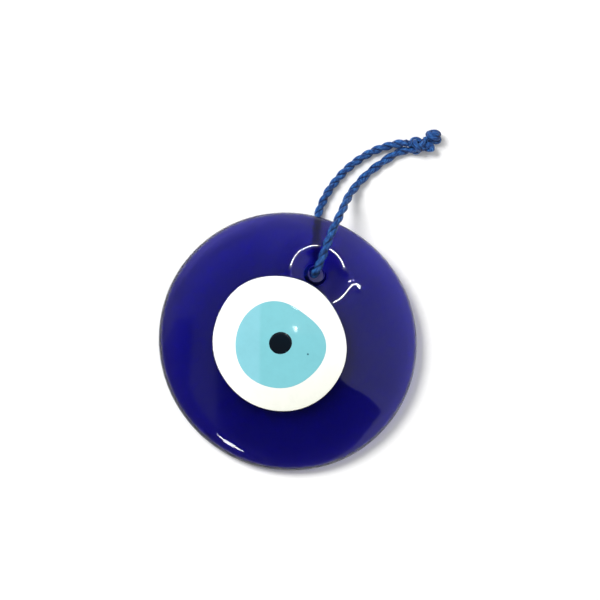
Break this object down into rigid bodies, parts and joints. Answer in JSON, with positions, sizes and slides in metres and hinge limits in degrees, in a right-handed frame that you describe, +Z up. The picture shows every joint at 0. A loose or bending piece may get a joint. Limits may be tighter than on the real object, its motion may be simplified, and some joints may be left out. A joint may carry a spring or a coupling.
{
  "type": "evil eye ornament",
  "caption": "Round fused-glass eye ornament with a domed face, inlaid eye layers and a punched hole, threaded on a knotted loop of twisted cord that swings about the hole.",
  "frame": {"origin": "under the middle of the disc, on the surface that it lies on", "axes": "+Z up out of the face of the disc as it lies, +Y from the middle of the disc towards its hole and the cord loop, +X to the right seen from above"},
  "size_m": [0.07, 0.1068, 0.0106],
  "materials": {
    "cobalt_glass": "fire-polished deep cobalt glass that lets some light through",
    "white_glass": "fire-polished opaque white glass",
    "light_blue_glass": "fire-polished opaque light blue glass",
    "black_glass": "fire-polished opaque blue-black glass",
    "blue_cord": "satin twisted two-ply cord"
  },
  "bodies": {
    "disc": {"cobalt_disc": "cobalt_glass", "white_layer": "white_glass", "light_blue_layer": "light_blue_glass", "pupil": "black_glass"},
    "loop": {"hanging_cord": "blue_cord", "knot": "blue_cord", "upper_tail": "blue_cord", "lower_tail": "blue_cord"}
  },
  "joints": [
    {"name": "loop_swing", "type": "hinge", "parent": "disc", "child": "loop", "pos_m": [0, 0.0194, 0.005], "axis": [0, 0, 1], "range_deg": [-45, 45]}
  ]
}
